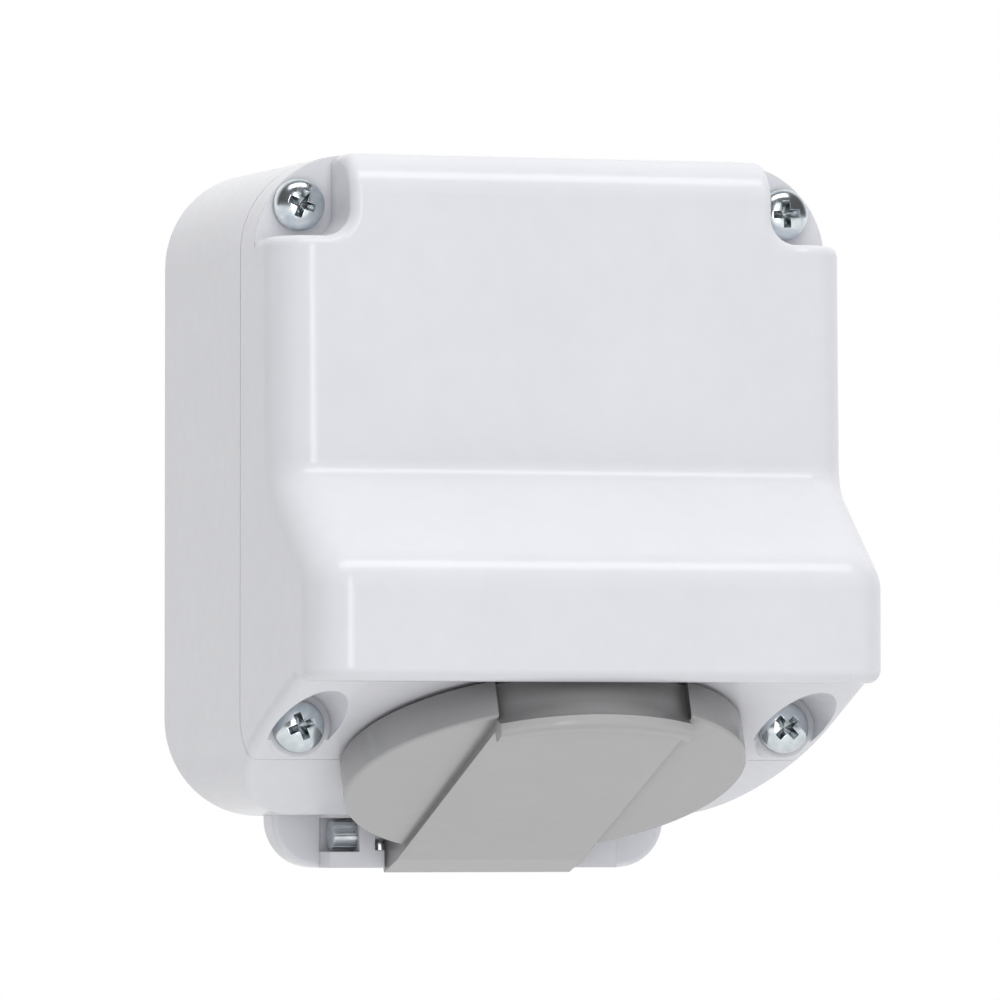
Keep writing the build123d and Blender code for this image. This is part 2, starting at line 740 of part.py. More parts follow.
# Round flap with skirt, raised band, finger lip and arm
band_slope = (band_front_height - band_rear_height) / (2 * flap_radius)
with BuildPart() as flap:
    with BuildSketch(flap_plane):
        Circle(flap_radius)
    extrude(amount=flap_thickness)
    fillet(flap.edges().sort_by(Axis((0, 0, 0), flap_plane.z_dir))[-1], flap_edge)
    with BuildSketch(flap_plane):
        Circle(flap_radius - flap_skirt)
    extrude(amount=flap_thickness - flap_plate, mode=Mode.SUBTRACT)
    with BuildSketch(flap_plane.offset(flap_thickness - flap_edge)):
        Circle(flap_radius)
        Rectangle(band_width, 2 * flap_radius, mode=Mode.INTERSECT)
    extrude(amount=flap_edge + band_front_height)
    with BuildSketch(flap_side):
        with BuildLine():
            Polyline(
                (-flap_radius - wall, flap_thickness + band_rear_height - wall * band_slope),
                (flap_radius + wall, flap_thickness + band_front_height + wall * band_slope),
                (flap_radius + wall, flap_thickness + finger_height),
                (-flap_radius - wall, flap_thickness + finger_height),
                close=True,
            )
        make_face()
    extrude(amount=flap_radius, both=True, mode=Mode.SUBTRACT)
    add(finger_lip.part)
    add(finger_hollow.part, mode=Mode.SUBTRACT)
    add(flap_arm.part)
    with BuildSketch(flap_side):
        with Locations((-hinge_reach, 0)):
            Circle(spring_pocket)
    extrude(amount=spring_span / 2 + side_gap, both=True, mode=Mode.SUBTRACT)
    with BuildSketch(flap_side):
        with Locations((-hinge_reach, 0)):
            Circle(pin_radius + pin_fit)
    extrude(amount=flap_radius, both=True, mode=Mode.SUBTRACT)
    with BuildSketch(Plane.YZ.offset(spring_span / 2)):
        with Locations((-hinge_depth, hinge_height + spring_radius)):
            Circle(wire_radius + wire_fit)
    extrude(amount=spring_hook, mode=Mode.SUBTRACT)

flap.part.label = "flap"
export_step(flap.part, "parts/flap.step")

# Ring inside the flap that closes on the collar's rim
with BuildPart() as flap_seal:
    with BuildSketch(flap_plane.offset(collar_stand + seal_gap)):
        Circle(collar_radius + wall / 2)
        Circle(well_radius, mode=Mode.SUBTRACT)
    extrude(amount=flap_thickness - flap_plate - collar_stand - seal_gap)

flap_seal.part.label = "flap_seal"
export_step(flap_seal.part, "parts/flap_seal.step")

# Hinge pin with a splined head in the window on the left
with BuildPart() as hinge_pin:
    with BuildSketch(Plane.YZ.offset(window_right)):
        with hinge_site:
            Circle(pin_radius)
    extrude(amount=right_block_outer - window_right - bearing_wall)
    with BuildSketch(Plane.YZ.offset(window_right)):
        with hinge_site:
            Circle(pin_head_radius)
            with PolarLocations(pin_head_radius, spline_count):
                Circle(spline_radius, mode=Mode.SUBTRACT)
    extrude(amount=pin_head_left - window_right)
    with BuildSketch(Plane.XY.offset(hinge_height)):
        with Locations((-spring_span / 2 + wire_radius, -hinge_depth)):
            Circle(wire_radius + wire_fit)
    extrude(amount=pin_head_radius, mode=Mode.SUBTRACT)

hinge_pin.part.label = "hinge_pin"
export_step(hinge_pin.part, "parts/hinge_pin.step")

# Closing spring: a coil around the pin, one end in the pin and the other in the flap's arm
with BuildPart() as torsion_spring:
    with BuildLine() as coil:
        Helix(
            pitch=(spring_span - 2 * wire_radius) / spring_turns,
            height=spring_span - 2 * wire_radius,
            radius=spring_radius,
            center=(-spring_span / 2 + wire_radius, -hinge_depth, hinge_height),
            direction=(1, 0, 0),
        )
    with BuildSketch(Plane(origin=coil.line @ 0, z_dir=coil.line % 0)):
        Circle(wire_radius)
    sweep(path=coil.line, is_frenet=True)
    with BuildSketch(Plane.XY.offset(hinge_height + spring_radius)):
        with Locations((-spring_span / 2 + wire_radius, -hinge_depth)):
            Circle(wire_radius)
    extrude(amount=wire_radius - spring_radius)
    with BuildSketch(Plane.YZ.offset(spring_span / 2 - wire_radius)):
        with Locations((-hinge_depth, hinge_height + spring_radius)):
            Circle(wire_radius)
    extrude(amount=wire_radius + spring_hook - side_gap)

torsion_spring.part.label = "torsion_spring"
export_step(torsion_spring.part, "parts/torsion_spring.step")

# Rubber cable entry in the back wall
with BuildPart() as cable_grommet:
    with BuildSketch(Plane.XZ):
        with Locations((0, entry_height)):
            Circle(entry_radius - tight_fit)
    extrude(amount=back_wall)
    with BuildSketch(Plane.XZ.offset(back_wall)):
        with Locations((0, entry_height)):
            Circle(grommet_flange)
    extrude(amount=grommet_lip)
    with BuildSketch(Plane.XZ):
        with Locations((0, entry_height)):
            Circle(grommet_hole)
    extrude(amount=back_wall + grommet_lip, mode=Mode.SUBTRACT)

cable_grommet.part.label = "cable_grommet"
export_step(cable_grommet.part, "parts/cable_grommet.step")
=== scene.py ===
"""Looks of an outdoor weatherproof socket: finishes, screws, spring, studio and camera. Metres."""
import logging
import math
from dataclasses import dataclass
from enum import Enum
from typing import Any, Mapping, Optional, Sequence, Union

import bmesh
import bpy
from mathutils import Matrix, Vector


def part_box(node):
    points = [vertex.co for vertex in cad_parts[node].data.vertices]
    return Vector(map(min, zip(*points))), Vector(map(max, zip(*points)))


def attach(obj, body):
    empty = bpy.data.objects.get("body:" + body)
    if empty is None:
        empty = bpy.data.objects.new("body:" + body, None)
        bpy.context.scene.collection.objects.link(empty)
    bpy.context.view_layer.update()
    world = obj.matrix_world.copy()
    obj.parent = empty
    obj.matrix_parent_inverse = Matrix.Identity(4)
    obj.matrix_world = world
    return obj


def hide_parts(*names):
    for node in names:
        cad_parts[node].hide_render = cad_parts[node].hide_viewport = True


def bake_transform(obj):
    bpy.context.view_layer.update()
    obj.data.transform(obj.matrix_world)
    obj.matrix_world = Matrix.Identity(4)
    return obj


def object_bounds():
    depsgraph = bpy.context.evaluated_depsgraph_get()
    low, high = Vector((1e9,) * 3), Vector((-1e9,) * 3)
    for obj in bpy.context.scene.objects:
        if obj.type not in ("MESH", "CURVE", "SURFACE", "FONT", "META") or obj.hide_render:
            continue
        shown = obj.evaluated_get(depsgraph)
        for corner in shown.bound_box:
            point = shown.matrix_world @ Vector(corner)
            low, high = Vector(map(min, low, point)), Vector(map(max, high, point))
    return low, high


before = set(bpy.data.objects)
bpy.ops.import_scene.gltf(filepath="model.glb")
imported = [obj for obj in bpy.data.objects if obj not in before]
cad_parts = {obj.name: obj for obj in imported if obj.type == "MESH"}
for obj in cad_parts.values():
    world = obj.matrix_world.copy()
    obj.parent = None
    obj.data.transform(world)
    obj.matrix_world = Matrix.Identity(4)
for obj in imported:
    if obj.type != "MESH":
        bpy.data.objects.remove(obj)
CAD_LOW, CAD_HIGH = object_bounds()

LOG = logging.getLogger("socket")
MM = 0.001
# Rays that a point of a surface sends out to find joints and edges
SHADER_RAYS = 6
# Share of open surroundings at which a point counts as wholly hidden
HOLLOW_OPENNESS = 0.3
# Mean of a noise texture
MEAN = 0.5
WHITE = (1.0, 1.0, 1.0, 1.0)
Colour = tuple[float, float, float]
Number = Union[int, float]


class Body(str, Enum):
    """The bodies that pieces ride on."""

    HOUSING = "housing"
    FLAP = "flap"


class Slot(str, Enum):
    """The record's material slots."""

    HOUSING = "housing"
    FLAP = "flap_plastic"
    SOCKET = "socket_plastic"
    BLOCK = "block_plastic"
    SEAL = "seal_rubber"
    ZINC = "zinc_steel"
    PIN = "pin_steel"
    CONTACT = "contact_brass"


class Wire:
    """One output of a shader node, with arithmetic that adds Math nodes."""

    def __init__(self, graph: "Graph", socket: bpy.types.NodeSocket) -> None:
        """Keeps the output and the graph that it is in.

        Args:
            graph: The graph that new Math nodes go to.
            socket: The output that this wire starts at.
        """
        self.graph = graph
        self.socket = socket

    def math(self, operation: str, first: "Term", second: "Term") -> "Wire":
        """Adds a Math node.

        Args:
            operation: The node's operation.
            first: Its first value.
            second: Its second value.

        Returns:
            The node's result.
        """
        return self.graph.node("ShaderNodeMath", {"operation": operation}, {0: first, 1: second})

    def __add__(self, other: "Term") -> "Wire":
        """This value plus another."""
        return self.math("ADD", self, other)

    def __radd__(self, other: "Term") -> "Wire":
        """Another value plus this one."""
        return self.math("ADD", other, self)

    def __sub__(self, other: "Term") -> "Wire":
        """This value minus another."""
        return self.math("SUBTRACT", self, other)

    def __rsub__(self, other: "Term") -> "Wire":
        """Another value minus this one."""
        return self.math("SUBTRACT", other, self)

    def __mul__(self, other: "Term") -> "Wire":
        """This value times another."""
        return self.math("MULTIPLY", self, other)

    def __rmul__(self, other: "Term") -> "Wire":
        """Another value times this one."""
        return self.math("MULTIPLY", other, self)

    def larger(self, other: "Term") -> "Wire":
        """The larger of this value and another."""
        return self.math("MAXIMUM", self, other)


Term = Union[Wire, Number]


class Graph:
    """The shader nodes of one material or of the world."""

    def __init__(self, tree: bpy.types.NodeTree) -> None:
        """Empties the tree.

        Args:
            tree: The node tree to fill.
        """
        self.tree = tree
        tree.nodes.clear()

    def node(
        self,
        kind: str,
        settings: Optional[Mapping[str, Any]] = None,
        sockets: Optional[Mapping[Union[str, int], Any]] = None,
        output: Union[str, int] = 0,
    ) -> Wire:
        """Adds a node.

        Args:
            kind: The node's type.
            settings: Its settings, set before its sockets; "stops" are a colour ramp's places and greys.
            sockets: Values or wires of its inputs.
            output: Which output to return.

        Returns:
            The named output.
        """
        made = self.tree.nodes.new(kind)
        for name, value in (settings or {}).items():
            if name == "stops":
                self._stops(made.color_ramp, value)
            else:
                setattr(made, name, value)
        for name, value in (sockets or {}).items():
            if isinstance(value, Wire):
                self.tree.links.new(value.socket, made.inputs[name])
            else:
                made.inputs[name].default_value = value
        return Wire(self, made.outputs[output]) if made.outputs else Wire(self, None)

    @staticmethod
    def _stops(ramp: bpy.types.ColorRamp, stops: Sequence[tuple[float, float]]) -> None:
        """Sets a colour ramp's stops.

        Args:
            ramp: The ramp, which starts with two stops.
            stops: Places and grey levels, in order.
        """
        while len(ramp.elements) < len(stops):
            ramp.elements.new(1.0)
        for element, (place, grey) in zip(ramp.elements, stops):
            element.position = place
            element.color = (grey, grey, grey, 1.0)

    def places(self) -> Wire:
        """Points of the piece in its body's own frame."""
        return self.node("ShaderNodeTexCoord", output="Object")

    def noise(self, size: float, detail: float = 2.0, roughness: float = 0.5) -> Wire:
        """Adds a noise texture.

        Args:
            size: Width of one blot, in metres.
            detail: Number of finer layers.
            roughness: How strong the finer layers are.

        Returns:
            The noise, about 0.5 on average.
        """
        values = {"Vector": self.places(), "Scale": 1.0 / size, "Detail": detail, "Roughness": roughness}
        return self.node("ShaderNodeTexNoise", {"noise_dimensions": "3D"}, values)

    def ramp(self, value: Wire, stops: Sequence[tuple[float, float]]) -> Wire:
        """Maps a value through grey stops.

        Args:
            value: What to map.
            stops: Places and grey levels, in order.

        Returns:
            The mapped value.
        """
        return self.node("ShaderNodeValToRGB", {"stops": stops}, {0: value})

    def step(self, value: Wire, start: float, end: float) -> Wire:
        """Rises softly from 0 to 1.

        Args:
            value: What to map.
            start: Value that gives 0.
            end: Value that gives 1.

        Returns:
            The mapped value.
        """
        values = {"Value": value, "From Min": start, "From Max": end}
        return self.node("ShaderNodeMapRange", {"interpolation_type": "SMOOTHSTEP"}, values)

    def colours(self, factor: Wire, first: Union[Wire, Colour], second: Colour) -> Wire:
        """Mixes two colours.

        Args:
            factor: Share of the second colour.
            first: Colour at 0, or a wire that gives it.
            second: Colour at 1.

        Returns:
            The mixed colour.
        """
        start = first if isinstance(first, Wire) else (*first, 1.0)
        values = {0: factor, 6: start, 7: (*second, 1.0)}
        return self.node("ShaderNodeMix", {"data_type": "RGBA"}, values, 2)

    def hidden(self, reach: float) -> Wire:
        """Finds joints and hollows, where the finishes paint shade.

        Args:
            reach: How far away a surface still hides another, in metres.

        Returns:
            1 in a hollow and 0 in the open.
        """
        rays = {"samples": SHADER_RAYS}
        around = self.node("ShaderNodeAmbientOcclusion", rays, {"Distance": reach}, "AO")
        return 1 - self.step(around, HOLLOW_OPENNESS, 1.0)

    def background_rays(self) -> Wire:
        """1 for the rays that show the background: from the camera, mirrored or through glass."""
        kinds = ("Is Camera Ray", "Is Glossy Ray", "Is Transmission Ray")
        seen, mirrored, through = (self.node("ShaderNodeLightPath", output=kind) for kind in kinds)
        return seen.larger(mirrored).larger(through)

    def relief(self, height: Wire, depth: float, edge: float) -> Wire:
        """Raises a surface by a height and softens its sharp edges.

        Args:
            height: Height from 0 to 1.
            depth: Relief at height 1, in metres.
            edge: Radius of the softened edges, in metres.

        Returns:
            The surface's normal.
        """
        soft = self.node("ShaderNodeBevel", {"samples": SHADER_RAYS}, {"Radius": edge})
        values = {"Strength": 1.0, "Distance": depth, "Height": height, "Normal": soft}
        return self.node("ShaderNodeBump", None, values)


def new_material(name: str) -> tuple[bpy.types.Material, Graph]:
    """Makes an empty material.

    Args:
        name: The material's name.

    Returns:
        The material and its graph.
    """
    material = bpy.data.materials.new(name)
    material.use_nodes = True
    return material, Graph(material.node_tree)


def close_graph(graph: Graph, sockets: Mapping[str, Any]) -> None:
    """Ends a graph with one surface shader.

    Args:
        graph: The material's graph.
        sockets: Values or wires of the surface shader.
    """
    surface = graph.node("ShaderNodeBsdfPrincipled", None, sockets)
    graph.node("ShaderNodeOutputMaterial", None, {"Surface": surface})


@dataclass(frozen=True)
class MouldedPlastic:
    """Injection-moulded plastic with a fine eroded grain, faint flow marks and painted shade in its joints
    and hollows.

    Attributes:
        name: The material's name.
        colour: Its colour.
        roughness: Its mean roughness.
        grain: Width of the grain, in metres.
        grain_depth: Relief of the grain, in metres.
        flow: Width of the flow marks, in metres.
        flow_share: Share of the flow marks in the mottle; the rest is patches.
        patch: Width of the patches, in metres.
        mottle: Share by which the colour varies.
        patch_gloss: How far the patches vary the roughness.
        grain_gloss: How far the grain varies it.
        ior: Its index of refraction.
        painted_shade: Share by which painted shade darkens the joints and hollows.
        painted_shade_reach: How far from a joint the painted shade reaches, in metres.
        edge: Radius of the softened edges, in metres.
    """

    name: str
    colour: Colour
    roughness: float
    grain: float = 0.5 * MM
    grain_depth: float = 0.001 * MM
    flow: float = 22 * MM
    flow_share: float = 0.65
    patch: float = 3 * MM
    mottle: float = 0.03
    patch_gloss: float = 0.1
    grain_gloss: float = 0.06
    ior: float = 1.49
    painted_shade: float = 0.1
    painted_shade_reach: float = 8 * MM
    edge: float = 0.25 * MM

    def material(self) -> bpy.types.Material:
        """Builds the material."""
        material, graph = new_material(self.name)
        flow = graph.noise(self.flow, 3.0)
        patches = graph.noise(self.patch, 2.0)
        grain = graph.noise(self.grain, 2.0, 0.6)
        # Painted shade: the colour darkens in joints and hollows, where shade falls.
        clean = 1 - self.painted_shade * graph.hidden(self.painted_shade_reach)
        blots = self.flow_share * flow + (1 - self.flow_share) * patches
        tone = graph.ramp(blots, ((0.35, 0.0), (0.65, 1.0)))
        tone = clean * (1 - self.mottle * (1 - tone))
        close_graph(
            graph,
            {
                "Base Color": graph.colours(tone, (0.0, 0.0, 0.0), self.colour),
                "Roughness": self.roughness
                + self.patch_gloss * (patches - MEAN)
                + self.grain_gloss * (grain - MEAN),
                "IOR": self.ior,
                "Normal": graph.relief(grain, self.grain_depth, self.edge),
            },
        )
        return material


@dataclass(frozen=True)
class PlatedSteel:
    """Bright steel with a thin plating that varies a little in tint and gloss, and painted shade in its
    hollows.

    Attributes:
        name: The material's name.
        colour: Its main colour.
        tint: Colour of the duller patches.
        roughness: Its mean roughness.
        painted_shade: Share by which painted shade darkens the hollows.
        shade_colour: Colour of the painted shade.
        shade_reach: How far from a hollow's walls the painted shade reaches, in metres.
        patch: Width of the duller patches, in metres.
        pit: Width of the pits, in metres.
        pit_depth: Their relief, in metres.
        patch_gloss: How far the patches vary the roughness.
        pit_gloss: How far the pits vary it.
        edge: Radius of the softened edges, in metres.
    """

    name: str
    colour: Colour
    tint: Colour
    roughness: float
    painted_shade: float = 0.8
    shade_colour: Colour = (0.012, 0.014, 0.018)
    shade_reach: float = 1.2 * MM
    patch: float = 1.6 * MM
    pit: float = 0.18 * MM
    pit_depth: float = 0.002 * MM
    patch_gloss: float = 0.12
    pit_gloss: float = 0.08
    edge: float = 0.08 * MM

    def material(self) -> bpy.types.Material:
        """Builds the material."""
        material, graph = new_material(self.name)
        patches = graph.noise(self.patch, 3.0)
        pits = graph.noise(self.pit, 2.0, 0.6)
        dull = graph.ramp(patches, ((0.35, 0.0), (0.7, 1.0)))
        # Painted shade: near-black colour in recesses and seats, where shade falls.
        shade_share = self.painted_shade * graph.hidden(self.shade_reach)
        plating = graph.colours(dull, self.colour, self.tint)
        close_graph(
            graph,
            {
                "Base Color": graph.colours(shade_share, plating, self.shade_colour),
                "Metallic": 1.0,
                "Roughness": self.roughness
                + self.patch_gloss * (dull - MEAN)
                + self.pit_gloss * (pits - MEAN),
                "Normal": graph.relief(pits, self.pit_depth, self.edge),
            },
        )
        return material


@dataclass(frozen=True)
class BareBrass:
    """Stamped brass with rolling marks and a faint tarnish.

    Attributes:
        name: The material's name.
        colour: Its clean colour.
        tarnish: Colour of the tarnish.
        roughness: Roughness of the clean brass.
        stain: Width of the stains, in metres.
        stain_gloss: How far the tarnish raises the roughness.
        mark: Width of the rolling marks, in metres.
        mark_depth: Their relief, in metres.
        mark_gloss: How far they vary the roughness.
        edge: Radius of the softened edges, in metres.
    """

    name: str
    colour: Colour
    tarnish: Colour
    roughness: float = 0.3
    stain: float = 2.4 * MM
    stain_gloss: float = 0.15
    mark: float = 0.12 * MM
    mark_depth: float = 0.0015 * MM
    mark_gloss: float = 0.08
    edge: float = 0.08 * MM

    def material(self) -> bpy.types.Material:
        """Builds the material."""
        material, graph = new_material(self.name)
        stain = graph.ramp(graph.noise(self.stain, 4.0), ((0.45, 0.0), (0.75, 1.0)))
        marks = graph.noise(self.mark, 2.0)
        close_graph(
            graph,
            {
                "Base Color": graph.colours(stain, self.colour, self.tarnish),
                "Metallic": 1.0,
                "Roughness": self.roughness + self.stain_gloss * stain + self.mark_gloss * (marks - MEAN),
                "Normal": graph.relief(marks, self.mark_depth, self.edge),
            },
        )
        return material


@dataclass(frozen=True)
class SoftRubber:
    """Matt rubber with a dusty bloom.

    Attributes:
        name: The material's name.
        colour: Its colour.
        bloom: Colour of the bloom.
        roughness: Its mean roughness.
        dust: Width of the bloom's blots, in metres.
        skin: Width of the skin's grain, in metres.
        skin_depth: Relief of the grain, in metres.
        skin_gloss: How far the grain varies the roughness.
        edge: Radius of the softened edges, in metres.
    """

    name: str
    colour: Colour
    bloom: Colour
    roughness: float = 0.72
    dust: float = 1.8 * MM
    skin: float = 0.2 * MM
    skin_depth: float = 0.006 * MM
    skin_gloss: float = 0.12
    edge: float = 0.15 * MM

    def material(self) -> bpy.types.Material:
        """Builds the material."""
        material, graph = new_material(self.name)
        dust = graph.ramp(graph.noise(self.dust, 4.0), ((0.45, 0.0), (0.8, 1.0)))
        skin = graph.noise(self.skin, 2.0, 0.6)
        close_graph(
            graph,
            {
                "Base Color": graph.colours(dust, self.colour, self.bloom),
                "Roughness": self.roughness + self.skin_gloss * (skin - MEAN),
                "Normal": graph.relief(skin, self.skin_depth, self.edge),
            },
        )
        return material


Finish = Union[MouldedPlastic, PlatedSteel, BareBrass, SoftRubber]
FINISHES: dict[Slot, Finish] = {
    # The housing takes a light painted shade in its pockets and creases.
    Slot.HOUSING: MouldedPlastic("white_housing_plastic", (0.80, 0.806, 0.85), 0.2),
    Slot.FLAP: MouldedPlastic(
        "grey_flap_plastic",
        (0.46, 0.458, 0.464),
        0.22,
        grain=0.45 * MM,
        grain_depth=0.002 * MM,
        # Strong painted shade on the flap's rim and finger lip, under the cover's overhang.
        painted_shade=0.65,
        painted_shade_reach=14 * MM,
    ),
    Slot.SOCKET: MouldedPlastic("pale_socket_plastic", (0.62, 0.62, 0.62), 0.45),
    Slot.BLOCK: MouldedPlastic("black_block_plastic", (0.03, 0.03, 0.032), 0.5),
    Slot.SEAL: SoftRubber("black_seal_rubber", (0.018, 0.018, 0.019), (0.05, 0.05, 0.05)),
    # The screws take the default painted shade, near-black in their cross recesses.
    Slot.ZINC: PlatedSteel("bright_zinc_plating", (0.80, 0.84, 0.86), (0.60, 0.68, 0.73), 0.2),
    # Painted shade in the hollows of the pin and the spring.
    Slot.PIN: PlatedSteel("plated_pin_steel", (0.78, 0.81, 0.84), (0.60, 0.66, 0.70), 0.32, painted_shade=0.4),
    Slot.CONTACT: BareBrass("contact_brass", (0.78, 0.58, 0.26), (0.42, 0.28, 0.13)),
}


class FinishShelf:
    """Makes each finish once and hands it out."""

    def __init__(self) -> None:
        """Starts with nothing made."""
        self.made: dict[Slot, bpy.types.Material] = {}

    def take(self, slot: Slot) -> bpy.types.Material:
        """The material of a slot.

        Args:
            slot: Which finish.

        Returns:
            Its material.
        """
        if slot not in self.made:
            self.made[slot] = FINISHES[slot].material()
        return self.made[slot]


def dress(node: str, slot: Slot, shelf: FinishShelf) -> None:
    """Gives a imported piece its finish.

    Args:
        node: The piece's name.
        slot: Its material slot.
        shelf: Where the finishes are.
    """
    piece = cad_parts[node]
    piece.data.materials.clear()
    piece.data.materials.append(shelf.take(slot))
    LOG.info("%s takes %s", node, slot.value)


def link(name: str, mesh: bpy.types.Mesh) -> bpy.types.Object:
    """Puts a mesh in the scene.

    Args:
        name: The new object's name.
        mesh: Its mesh.

    Returns:
        The object.
    """
    made = bpy.data.objects.new(name, mesh)
    bpy.context.scene.collection.objects.link(made)
    return made


@dataclass
class SubAssembly:
    """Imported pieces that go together, each with its material slot.

    Attributes:
        shelf: Where the finishes are.
    """

    shelf: FinishShelf

    def pieces(self) -> dict[str, Slot]:
        """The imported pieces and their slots."""
        return {}

    def build(self) -> None:
        """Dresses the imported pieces."""
        for node, slot in self.pieces().items():
            dress(node, slot, self.shelf)


@dataclass
class Housing(SubAssembly):
    """Rear box, front cover, their gasket and the cable entry."""

    def pieces(self) -> dict[str, Slot]:
        """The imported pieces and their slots."""
        return {
            "rear_box": Slot.HOUSING,
            "front_cover": Slot.HOUSING,
            "cover_gasket": Slot.SEAL,
            "cable_grommet": Slot.SEAL,
        }


@dataclass
class SocketInsert(SubAssembly):
    """The plug well, its insulating block, contacts and terminals."""

    def pieces(self) -> dict[str, Slot]:
        """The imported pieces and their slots."""
        made = {"socket_front": Slot.SOCKET, "socket_base": Slot.BLOCK, "collar_seal": Slot.SEAL}
        for name in ("contact_sleeve_left", "contact_sleeve_right", "earth_clip"):
            made[name] = Slot.CONTACT
        for name in ("terminal_left", "terminal_right", "terminal_earth"):
            made[name] = Slot.CONTACT
        for name in ("terminal_screws", "insert_screws", "front_screw"):
            made[name] = Slot.ZINC
        return made


@dataclass
class FlapSet(SubAssembly):
    """The flap with its seal and its hinge pin."""

    def pieces(self) -> dict[str, Slot]:
        """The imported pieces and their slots."""
        return {
            "flap": Slot.FLAP,
            "flap_seal": Slot.SEAL,
            "hinge_pin": Slot.PIN,
        }


@dataclass
class ClosingSpring(SubAssembly):
    """The spring round the hinge pin, which on the real socket twists when the flap opens; here it is one
    still piece.

    Attributes:
        wire: Thickness of its wire; not used.
        hook: Length of the straight end in the flap's arm; not used.
    """

    wire: float = 0.8 * MM
    hook: float = 1.6 * MM

    def build(self) -> None:
        """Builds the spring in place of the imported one, as a copy of its mesh with the pin's finish."""
        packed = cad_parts["torsion_spring"]
        mesh = packed.data.copy()
        mesh.transform(packed.matrix_world)
        mesh.materials.clear()
        mesh.materials.append(self.shelf.take(Slot.PIN))
        spring = link("dressed_torsion_spring", mesh)
        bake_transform(spring)
        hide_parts("torsion_spring")
        LOG.info("%s built in place of torsion_spring", spring.name)


@dataclass
class CoverScrews(SubAssembly):
    """The four cover screws, with domed heads, cross recesses and threads.

    Attributes:
        head_radius: Radius of a head.
        head_height: Height of a head over its seat.
        head_power: How square the head's dome is; 2 is an ellipse.
        rim: Height of the straight side of a head.
        recess_reach: Reach of a recess arm from the middle at the top.
        recess_floor_reach: The same at the bottom.
        recess_half_width: Half the width of an arm at the top.
        recess_floor_half_width: The same at the bottom.
        recess_depth: Depth of the recess.
        tip_depth: Depth of the recess's middle below its floor.
        edge: Rounding of the recess's edges.
        shank_radius: Radius over the thread.
        core_radius: Radius under the thread.
        pitch: Pitch of the thread.
        point: Length of the cone at the end.
        segments: Corners around a head.
        dome_steps: Rings of the dome.
        seat_share: Radius of the seat, as a share of the head's.
        cut_clear: How far the cut stands over the head.
        edge_angle: Angle from which an edge is rounded, in degrees.
        smooth_angle: Angle up to which shading is smooth, in degrees.
        tip_share: Radius of the pointed end, as a share of the shank's.
        shank_segments: Corners around a shank.
        rows_per_turn: Rings in one turn of the thread.
    """

    head_radius: float = 4.0 * MM
    head_height: float = 2.6 * MM
    head_power: float = 2.5
    rim: float = 0.35 * MM
    recess_reach: float = 2.4 * MM
    recess_floor_reach: float = 1.2 * MM
    recess_half_width: float = 0.62 * MM
    recess_floor_half_width: float = 0.42 * MM
    recess_depth: float = 1.7 * MM
    tip_depth: float = 0.4 * MM
    edge: float = 0.1 * MM
    shank_radius: float = 1.9 * MM
    core_radius: float = 1.5 * MM
    pitch: float = 1.5 * MM
    point: float = 2.0 * MM
    segments: int = 64
    dome_steps: int = 18
    seat_share: float = 0.97
    cut_clear: float = 0.3 * MM
    edge_angle: float = 35.0
    smooth_angle: float = 40.0
    tip_share: float = 0.05
    shank_segments: int = 32
    rows_per_turn: int = 8

    def turns(self) -> dict[tuple[int, int], float]:
        """Turn of each screw's cross, in degrees, by its side and its row."""
        return {(-1, 1): -20.0, (1, 1): 4.0, (-1, -1): 22.0, (1, -1): 45.0}

    def head_profile(self) -> list[tuple[float, float]]:
        """Radius and height of the head's dome, from its seat to its top."""
        dome = self.head_height - self.rim
        points = [(self.head_radius * self.seat_share, 0.0)]
        for i in range(self.dome_steps):
            angle = math.pi / 2 * i / self.dome_steps
            radius = self.head_radius * math.cos(angle) ** (2 / self.head_power)
            points.append((radius, self.rim + dome * math.sin(angle) ** (2 / self.head_power)))
        return points

    def head(self) -> bpy.types.Mesh:
        """Turns the head's profile about its axis."""
        shape = bmesh.new()
        rings = []
        for radius, height in self.head_profile():
            ring = []
            for i in range(self.segments):
                angle = 2 * math.pi * i / self.segments
                ring.append(shape.verts.new((radius * math.cos(angle), radius * math.sin(angle), height)))
            rings.append(ring)
        top = shape.verts.new((0, 0, self.head_height))
        for low, high in zip(rings, rings[1:]):
            for i in range(self.segments):
                j = (i + 1) % self.segments
                shape.faces.new((low[i], low[j], high[j], high[i]))
        for i in range(self.segments):
            shape.faces.new((rings[-1][i], rings[-1][(i + 1) % self.segments], top))
        shape.faces.new(list(reversed(rings[0])))
        mesh = bpy.data.meshes.new("screw_head")
        shape.to_mesh(mesh)
        shape.free()
        return mesh

    def cross(self, reach: float, half: float, height: float) -> list[Vector]:
        """Outline of a cross with blunt arms.

        Args:
            reach: Reach of an arm from the middle.
            half: Half the width of an arm.
            height: Height of the outline.

        Returns:
            Twelve corners, in order.
        """
        corners = []
        for quarter in range(4):
            turn = Matrix.Rotation(math.pi / 2 * quarter, 3, "Z")
            for place in ((reach, -half), (reach, half), (half, half)):
                corners.append(turn @ Vector((place[0], place[1], height)))
        return corners

    def recess(self) -> bpy.types.Mesh:
        """Builds the tapered cross that is cut from a head."""
        floor = self.head_height - self.recess_depth
        shape = bmesh.new()
        loops = []
        for reach, half, height in (
            (self.recess_floor_reach, self.recess_floor_half_width, floor),
            (self.recess_reach, self.recess_half_width, self.head_height + self.cut_clear),
        ):
            loops.append([shape.verts.new(corner) for corner in self.cross(reach, half, height)])
        count = len(loops[0])
        tip = shape.verts.new((0, 0, floor - self.tip_depth))
        for i in range(count):
            j = (i + 1) % count
            shape.faces.new((loops[0][i], loops[0][j], loops[1][j], loops[1][i]))
            shape.faces.new((loops[0][j], loops[0][i], tip))
        shape.faces.new(loops[1])
        bmesh.ops.recalc_face_normals(shape, faces=shape.faces[:])
        mesh = bpy.data.meshes.new("screw_recess")
        shape.to_mesh(mesh)
        shape.free()
        return mesh

